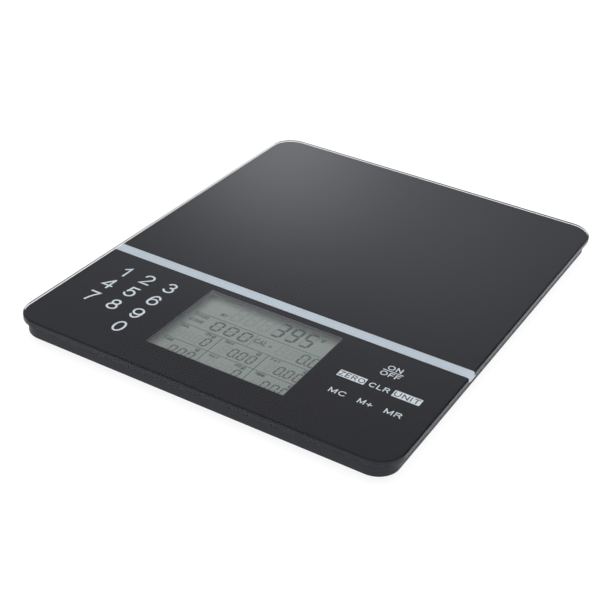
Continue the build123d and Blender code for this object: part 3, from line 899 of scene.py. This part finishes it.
class SCALE_OT_display_marks(bpy.types.Operator):
    """Draws the display's segments, rules and small words on its polarised film"""

    bl_idname = "scale.display_marks"
    bl_label = "Display Marks"

    def execute(self, context):
        settings = context.scene.scale_settings
        display = settings.display
        levels = ((0.004, 0.008), (0.010, 0.014), (0.016, 0.020))
        faint, shade, clear = [[WINDOW_HIGH.z + level * MM for level in pair] for pair in levels]
        weight, rest = digit_shapes(display, "395", "000", "0.0")
        # Every digit position, drawn in full.
        ghosts = sum(digit_shapes(display, "888888", "888", "8888", "8888"), [])
        # Each display material carries the painted shadow under the window's back and left edges.
        ghost = lcd_colour_with_painted_shade("unlit_segment", display.ghost)
        weak = lcd_colour_with_painted_shade("weak_segment", display.weak)
        lit = lcd_colour_with_painted_shade("lit_segment", display.lit)
        shadow = lcd_colour_with_painted_shade("segment_shadow", [0.78 * a + 0.22 * b for a, b in zip(display.face, display.lit)])
        shadows = [[(x - 0.3, y + 0.45) for x, y in shape] for shape in weight + rest]
        layers = (
            ("display_ghosts", ghosts, faint, ghost),
            ("display_shadows", shadows, shade, shadow),
            ("display_weight", weight, clear, lit),
            ("display_readings", rest + rule_shapes(display), clear, weak),
        )
        for name, shapes, heights, material in layers:
            hold(name, prisms(name, on_display(shapes), *heights), material)
        words = self.small_words(display, clear)
        hold("display_words", joined("display_words", words), weak)
        # A dark frame round the display, partly painted shade under the window's back and left edges.
        frame_tint = moulded_plastic("display_surround", display.surround, 0.6)
        hold("display_surround", self.surround(), frame_tint)
        materials = NODES["lcd_front_polariser"].data.materials
        materials.clear()
        # The display face carries the painted shadow under the window's back and left edges.
        materials.append(lcd_colour_with_painted_shade("display_face", display.face, 0.035))
        return {"FINISHED"}

    def small_words(self, display, heights):
        """Names and units of the readings."""
        plan = DisplayLayout
        middle_y = (WINDOW_LOW.y + WINDOW_HIGH.y) / 2
        words = [
            ("CAL", 5.7, 3.8, 4.0, 0.6, 6.4),
            ("=", 10.8, 3.2, 1.7, 0.5, 1.5),
            ("g", 27.9, 20.6, 2.6, 0.6, 1.9),
        ]
        words += [("FOOD", -27.4, 6.5, 2.6, 0.5, 7.2), ("CODE", -27.4, 2.0, 2.6, 0.5, 7.2)]
        words.append(("NET", -19.5, 12.7, 2.2, 0.4, 3.4))
        cell_lefts = (-31.4, *(x + 2.1 for x in plan.columns))
        lefts = dict(zip(plan.cell_rights, cell_lefts))
        for row, (label, reading, unit) in cell_rows(display):
            top = row[1] + row[3] + plan.cell_drop
            words.append((label, lefts[row[0]] + 2.4, top - 1.75, 2.0, 0.42, 4.7))
            unit_width = 2.0 if unit == "g" else 5.2
            words.append((unit, row[0] - 0.3 - unit_width / 2, top - 1.9, 2.5, 0.55, unit_width))
        return [
            lettering(word, (x * MM, middle_y + y * MM), height * MM, stroke * MM, *heights, width * MM)
            for word, x, y, height, stroke, width in words
        ]

    def surround(self):
        """The dark frame that covers the display's edges; at the back and left it also stands in for painted shade
        under the window's edge.
        """
        plan = DisplayLayout
        middle = (0.0, (WINDOW_LOW.y + WINDOW_HIGH.y) / 2)
        film = WINDOW_HIGH - WINDOW_LOW
        outer = rounded_outline(film.x, film.y, 0.5 * MM, 4, middle)
        inner = rounded_outline(plan.opening[0] * MM, plan.opening[1] * MM, 0.6 * MM, 4, middle)
        film_z = WINDOW_HIGH.z
        return sheet_mesh("display_surround", [outer, inner], film_z + 0.03 * MM, film_z + 0.2 * MM)


# ---- fasteners and boards


def screw_tree(material):
    """Pan-head screws with a rolled thread, one on each point."""
    inputs = {"Head radius": 0.0019, "Head height": 0.001, "Shank radius": 0.0009, "Length": 0.003, "Turns": 6.0}
    nodes = NodeTree("rolled_screws", inputs)
    head_radius, head_height, shank_radius, length, turns = nodes.start.outputs[1:6]
    head = nodes.add("GeometryNodeMeshCylinder", {"Vertices": 32}, Radius=head_radius, Depth=head_height)
    shank = nodes.add("GeometryNodeMeshCylinder", {"Vertices": 16}, Radius=shank_radius, Depth=length)
    radii = {"Start_Radius": shank_radius, "End_Radius": shank_radius}
    spiral = nodes.add("GeometryNodeCurveSpiral", {"Resolution": 20}, Rotations=turns, Height=length, **radii)
    ridge = nodes.add("GeometryNodeCurvePrimitiveCircle", {"Resolution": 4, "Radius": 0.00012})
    lines = {"Curve": spiral.outputs[0], "Profile_Curve": ridge.outputs[0]}
    thread = nodes.add("GeometryNodeCurveToMesh", {"Fill Caps": True}, **lines)
    whole = nodes.add("GeometryNodeJoinGeometry")
    # Each part is moved up by a share of a length, so that all meet under the head.
    for part, distance, share in ((head, head_height, 0.5), (shank, length, -0.5), (thread, length, -1.0)):
        offset = nodes.add("ShaderNodeCombineXYZ", Z=combine(nodes.tree, "MULTIPLY", distance, share))
        moved = nodes.add("GeometryNodeTransform", Geometry=part.outputs[0], Translation=offset.outputs[0])
        nodes.tree.links.new(moved.outputs[0], whole.inputs[0])
    nodes.close(whole.outputs[0], material)
    return nodes


def electrode_tree(material):
    """Etched copper discs, one on each point."""
    nodes = NodeTree("touch_electrodes", {"Outer radius": 0.0048, "Thickness": 0.00004})
    outer, thickness = nodes.start.outputs[1:3]
    disc = nodes.add("GeometryNodeMeshCylinder", {"Vertices": 40}, Radius=outer, Depth=thickness)
    nodes.close(disc.outputs["Mesh"], material)
    return nodes


def island_centres(node):
    """The middle of each separate solid of a CAD node, with its lowest and highest level."""
    copy = bmesh.new()
    copy.from_mesh(NODES[node].data)
    bmesh.ops.remove_doubles(copy, verts=copy.verts, dist=1e-6)
    left = set(copy.verts)
    centres = []
    while left:
        group = [left.pop()]
        for vertex in group:
            for edge in vertex.link_edges:
                other = edge.other_vert(vertex)
                if other in left:
                    left.remove(other)
                    group.append(other)
        low = Vector([min(v.co[axis] for v in group) for axis in range(3)])
        high = Vector([max(v.co[axis] for v in group) for axis in range(3)])
        centres.append(((low + high) / 2, low.z, high.z))
    copy.free()
    return sorted(centres, key=lambda entry: (round(entry[0].x, 5), round(entry[0].y, 5)))


class SCALE_OT_screws(bpy.types.Operator):
    """Replaces the plain screws with threaded ones"""

    bl_idname = "scale.screws"
    bl_label = "Screws"

    def execute(self, context):
        steel = worked_metal("plated_steel", context.scene.scale_settings.body.steel, 0.28, (1.0, 1.0, 6.0))
        tree = screw_tree(steel)
        kinds = (("board_screws", 1.8, 0.8), ("clamp_screws", 1.9, 0.9))
        for node, head_radius, shank_radius in kinds:
            centres = island_centres(node)
            head_height = 1.0 * MM
            low, high = centres[0][1], centres[0][2]
            points = [(centre.x, centre.y, high - head_height) for centre, _, _ in centres]
            values = {
                "Head radius": head_radius * MM,
                "Shank radius": (shank_radius - 0.08) * MM,
                "Length": high - head_height - low,
            }
            name = node + "_threaded"
            hold(name, tree.made_mesh(name, points, values), None, (node,))
        return {"FINISHED"}


class SCALE_OT_touch_electrodes(bpy.types.Operator):
    """Adds the copper electrodes on top of the two touch boards"""

    bl_idname = "scale.touch_electrodes"
    bl_label = "Touch Electrodes"

    def execute(self, context):
        settings = context.scene.scale_settings
        pitch = settings.glass.key_pitch
        tree = electrode_tree(worked_metal("tinned_copper", (0.62, 0.34, 0.2), 0.3))
        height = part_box("touch_board_left")[1].z + 0.02 * MM
        places = []
        for row in range(4):
            for column in range(3):
                if row < 3 or column == 2:
                    places.append((-51.5 - (2 - column) * pitch, 59.9 - row * pitch))
                if row in (1, 2) or (row == 0 and column == 1):
                    places.append((52.5 + column * pitch, 59.7 - row * pitch))
        points = [(*from_front(x, y), height) for x, y in places]
        hold("touch_electrodes", tree.made_mesh("touch_electrodes", points), None)
        return {"FINISHED"}


# ---- carried-over parts


class SCALE_OT_part_finishes(bpy.types.Operator):
    """Gives each carried-over part the finish of its material slot"""

    bl_idname = "scale.part_finishes"
    bl_label = "Part Finishes"

    def execute(self, context):
        settings = context.scene.scale_settings
        body = settings.body
        finishes = {
            "adhesive": soft_rubber("foam_tape", (0.03, 0.03, 0.032)),
            "black_abs": moulded_plastic("tray_plastic", body.tray, gloss=0.36),
            "foot_abs": moulded_plastic("foot_plastic", body.tray, 0.48),
            "foot_rubber": soft_rubber("foot_rubber", body.rubber),
            "spring_steel": worked_metal("spring_steel", body.steel, 0.32, (1.0, 8.0, 1.0)),
            "sealant": soft_rubber("white_sealant", (0.75, 0.75, 0.73)),
            "clamp_plastic": moulded_plastic("acetal", (0.62, 0.62, 0.60), 0.35),
            "wire_pvc": wire_insulation(),
            "screw_steel": worked_metal("screw_steel", body.steel, 0.28, (1.0, 1.0, 6.0)),
            "bezel_plastic": moulded_plastic("bezel_plastic", (0.11, 0.115, 0.12), 0.5),
            "lcd_glass": pane_glass(),
            "reflector": worked_metal("reflector_film", (0.5, 0.55, 0.52), 0.4),
            "connector_rubber": soft_rubber("zebra_rubber", (0.35, 0.12, 0.16)),
            "board_laminate": circuit_laminate(settings),
            "epoxy": moulded_plastic("black_resin", (0.008, 0.008, 0.009), 0.15, 1.2),
            "component_black": moulded_plastic("chip_body", (0.02, 0.02, 0.022), 0.5),
            "cell_can": worked_metal("nickel_can", (0.66, 0.64, 0.6), 0.22, (6.0, 1.0, 1.0)),
            "contact_plate": worked_metal("tinned_steel", (0.6, 0.59, 0.56), 0.3, (1.0, 5.0, 1.0)),
            "ribbon_film": ribbon_film(),
        }
        for part in frame["record"]["subparts"]:
            node = NODES[part["node"]]
            finish = finishes.get(part["material_slot"])
            if finish and not node.hide_render:
                node.data.materials.clear()
                node.data.materials.append(finish)
        return {"FINISHED"}


# ---- stage


def direction(azimuth, elevation):
    """A unit vector from angles in degrees. Azimuth 0 is +Y and 90 is +X."""
    turn, lift = math.radians(azimuth), math.radians(elevation)
    return math.sin(turn) * math.cos(lift), math.cos(turn) * math.cos(lift), math.sin(lift)


def camera_matrix(azimuth, elevation, roll, position):
    """Camera axes from its angles in degrees. Azimuth 0 looks along +Y."""
    lean = math.radians(roll)
    x, y, z = direction(azimuth, elevation)
    backwards = Vector((x, -y, z))
    level = Vector((0.0, 0.0, 1.0)).cross(backwards).normalized()
    upright = backwards.cross(level)
    right = math.cos(lean) * level + math.sin(lean) * upright
    up = math.cos(lean) * upright - math.sin(lean) * level
    return Matrix.Translation(position) @ Matrix((right, up, backwards)).transposed().to_4x4()


def area_lamp(name, position, target, width, height, radiance):
    """A soft box facing its target, with its brightness given as radiance."""
    lamp = bpy.data.lights.new(name, "AREA")
    lamp.shape = "RECTANGLE"
    lamp.size = width
    lamp.size_y = height
    lamp.energy = radiance * math.pi * width * height
    holder = bpy.data.objects.new(name, lamp)
    bpy.context.scene.collection.objects.link(holder)
    holder.location = position
    holder.visible_glossy = False
    holder.rotation_euler = (Vector(target) - Vector(position)).to_track_quat("-Z", "Y").to_euler()
    return holder


# Bright and dark patches of the room behind the scale: azimuth and elevation in degrees, sharpness, strength.
ROOM_PATCHES = ((-30.0, 24.7, 262.0, 0.9), (-21.6, 28.5, 200.0, 0.22), (40.0, 8.0, 15.0, -0.7))


def studio_world(scene):
    """A pale room, brighter towards the horizon and in soft patches behind the scale."""
    world = bpy.data.worlds.new("studio")
    scene.world = world
    world.use_nodes = True
    tree = world.node_tree
    background = tree.nodes["Background"]
    background.inputs["Color"].default_value = (0.935, 0.95, 1.02, 1.0)
    outwards = tree.nodes.new("ShaderNodeTexCoord").outputs["Generated"]
    height = add_node(tree, "ShaderNodeSeparateXYZ", Vector=outwards).outputs["Z"]
    strength = map_range(tree, height, 0.15, 0.42, 0.8, 0.45)
    for azimuth, elevation, sharpness, amount in ROOM_PATCHES:
        facing = add_node(tree, "ShaderNodeVectorMath", {"operation": "DOT_PRODUCT"}, Vector=outwards)
        facing.inputs[1].default_value = direction(azimuth, elevation)
        # Each patch fades as a bell curve: exp(sharpness * (cosine - 1)).
        fall = combine(tree, "MULTIPLY_ADD", facing.outputs["Value"], sharpness, -sharpness)
        bell = combine(tree, "EXPONENT", fall)
        strength = combine(tree, "MULTIPLY_ADD", bell, amount, strength)
    tree.links.new(strength, background.inputs["Strength"])


class SCALE_OT_stage(bpy.types.Operator):
    """Sets the floor, the studio light and the camera"""

    bl_idname = "scale.stage"
    bl_label = "Stage"

    def execute(self, context):
        scene = context.scene
        scene.view_settings.view_transform = "Standard"
        floor_mesh = bpy.data.meshes.new("floor")
        reach = 16.0
        corners = [(x, y, 0.0) for x, y in bar(-reach, -reach, reach, reach)]
        floor_mesh.from_pydata(corners, [], [(0, 1, 2, 3)])
        # A light table: lit from below, so that it carries hardly any shadow.
        grey = (0.17, 0.17, 0.17)
        glow = {"Emission Color": (1.0, 1.0, 1.0, 1.0), "Emission Strength": 0.88}
        paper, tree, shader = new_material("light_table", grey, 0.9, glow)
        mottle(tree, shader, grey, 0.01, 8.0)
        floor = add_object("floor", floor_mesh, paper)
        # The polished glass edges mirror the darker room instead of the light table.
        floor.visible_glossy = False
        studio_world(scene)
        area_lamp("overhead_box", (0.0, 0.0, 1.6), (0.0, 0.0, 0.0), 1.8, 1.8, 2.6)
        area_lamp("front_box", (0.9, -1.6, 0.9), (0.0, 0.0, 0.0), 1.2, 0.9, 1.2)
        lens = bpy.data.cameras.new("camera")
        lens.sensor_width = 36.0
        lens.lens = 73.41
        camera = bpy.data.objects.new("camera", lens)
        scene.collection.objects.link(camera)
        middle = Vector((0.0, 0.0, GLASS_HIGH.z))
        position = middle + Vector((0.23735, -0.46356, 0.3044))
        camera.matrix_world = camera_matrix(28.123, 32.121, 4.022, position)
        scene.camera = camera
        return {"FINISHED"}


# ---- panel and registration


class ScaleSettings(bpy.types.PropertyGroup):
    """All the scale's settings."""

    glass: bpy.props.PointerProperty(type=ScaleGlassSettings)
    display: bpy.props.PointerProperty(type=ScaleDisplaySettings)
    body: bpy.props.PointerProperty(type=ScaleBodySettings)


OPERATORS = (
    SCALE_OT_stage,
    SCALE_OT_glass_plate,
    SCALE_OT_black_print,
    SCALE_OT_pale_band,
    SCALE_OT_number_marks,
    SCALE_OT_function_marks,
    SCALE_OT_display_marks,
    SCALE_OT_screws,
    SCALE_OT_touch_electrodes,
    SCALE_OT_part_finishes,
)


class SCALE_PT_panel(bpy.types.Panel):
    """Lists the scale's pieces and settings"""

    bl_label = "Nutrition Scale"
    bl_idname = "SCALE_PT_panel"
    bl_space_type = "VIEW_3D"
    bl_region_type = "UI"
    bl_category = "Scale"

    def draw(self, context):
        layout = self.layout
        settings = context.scene.scale_settings
        for group in (settings.glass, settings.display, settings.body):
            box = layout.box()
            for name in group.__annotations__:
                box.prop(group, name)
        for operator in OPERATORS:
            layout.operator(operator.bl_idname)


CLASSES = (ScaleGlassSettings, ScaleDisplaySettings, ScaleBodySettings, ScaleSettings, *OPERATORS, SCALE_PT_panel)


def register():
    for entry in CLASSES:
        bpy.utils.register_class(entry)
    bpy.types.Scene.scale_settings = bpy.props.PointerProperty(type=ScaleSettings)


def unregister():
    del bpy.types.Scene.scale_settings
    for entry in reversed(CLASSES):
        bpy.utils.unregister_class(entry)


def main():
    """Builds the scale."""
    register()
    for operator in OPERATORS:
        category, name = operator.bl_idname.split(".")
        getattr(getattr(bpy.ops, category), name)()


if __name__ == "__main__":
    main()
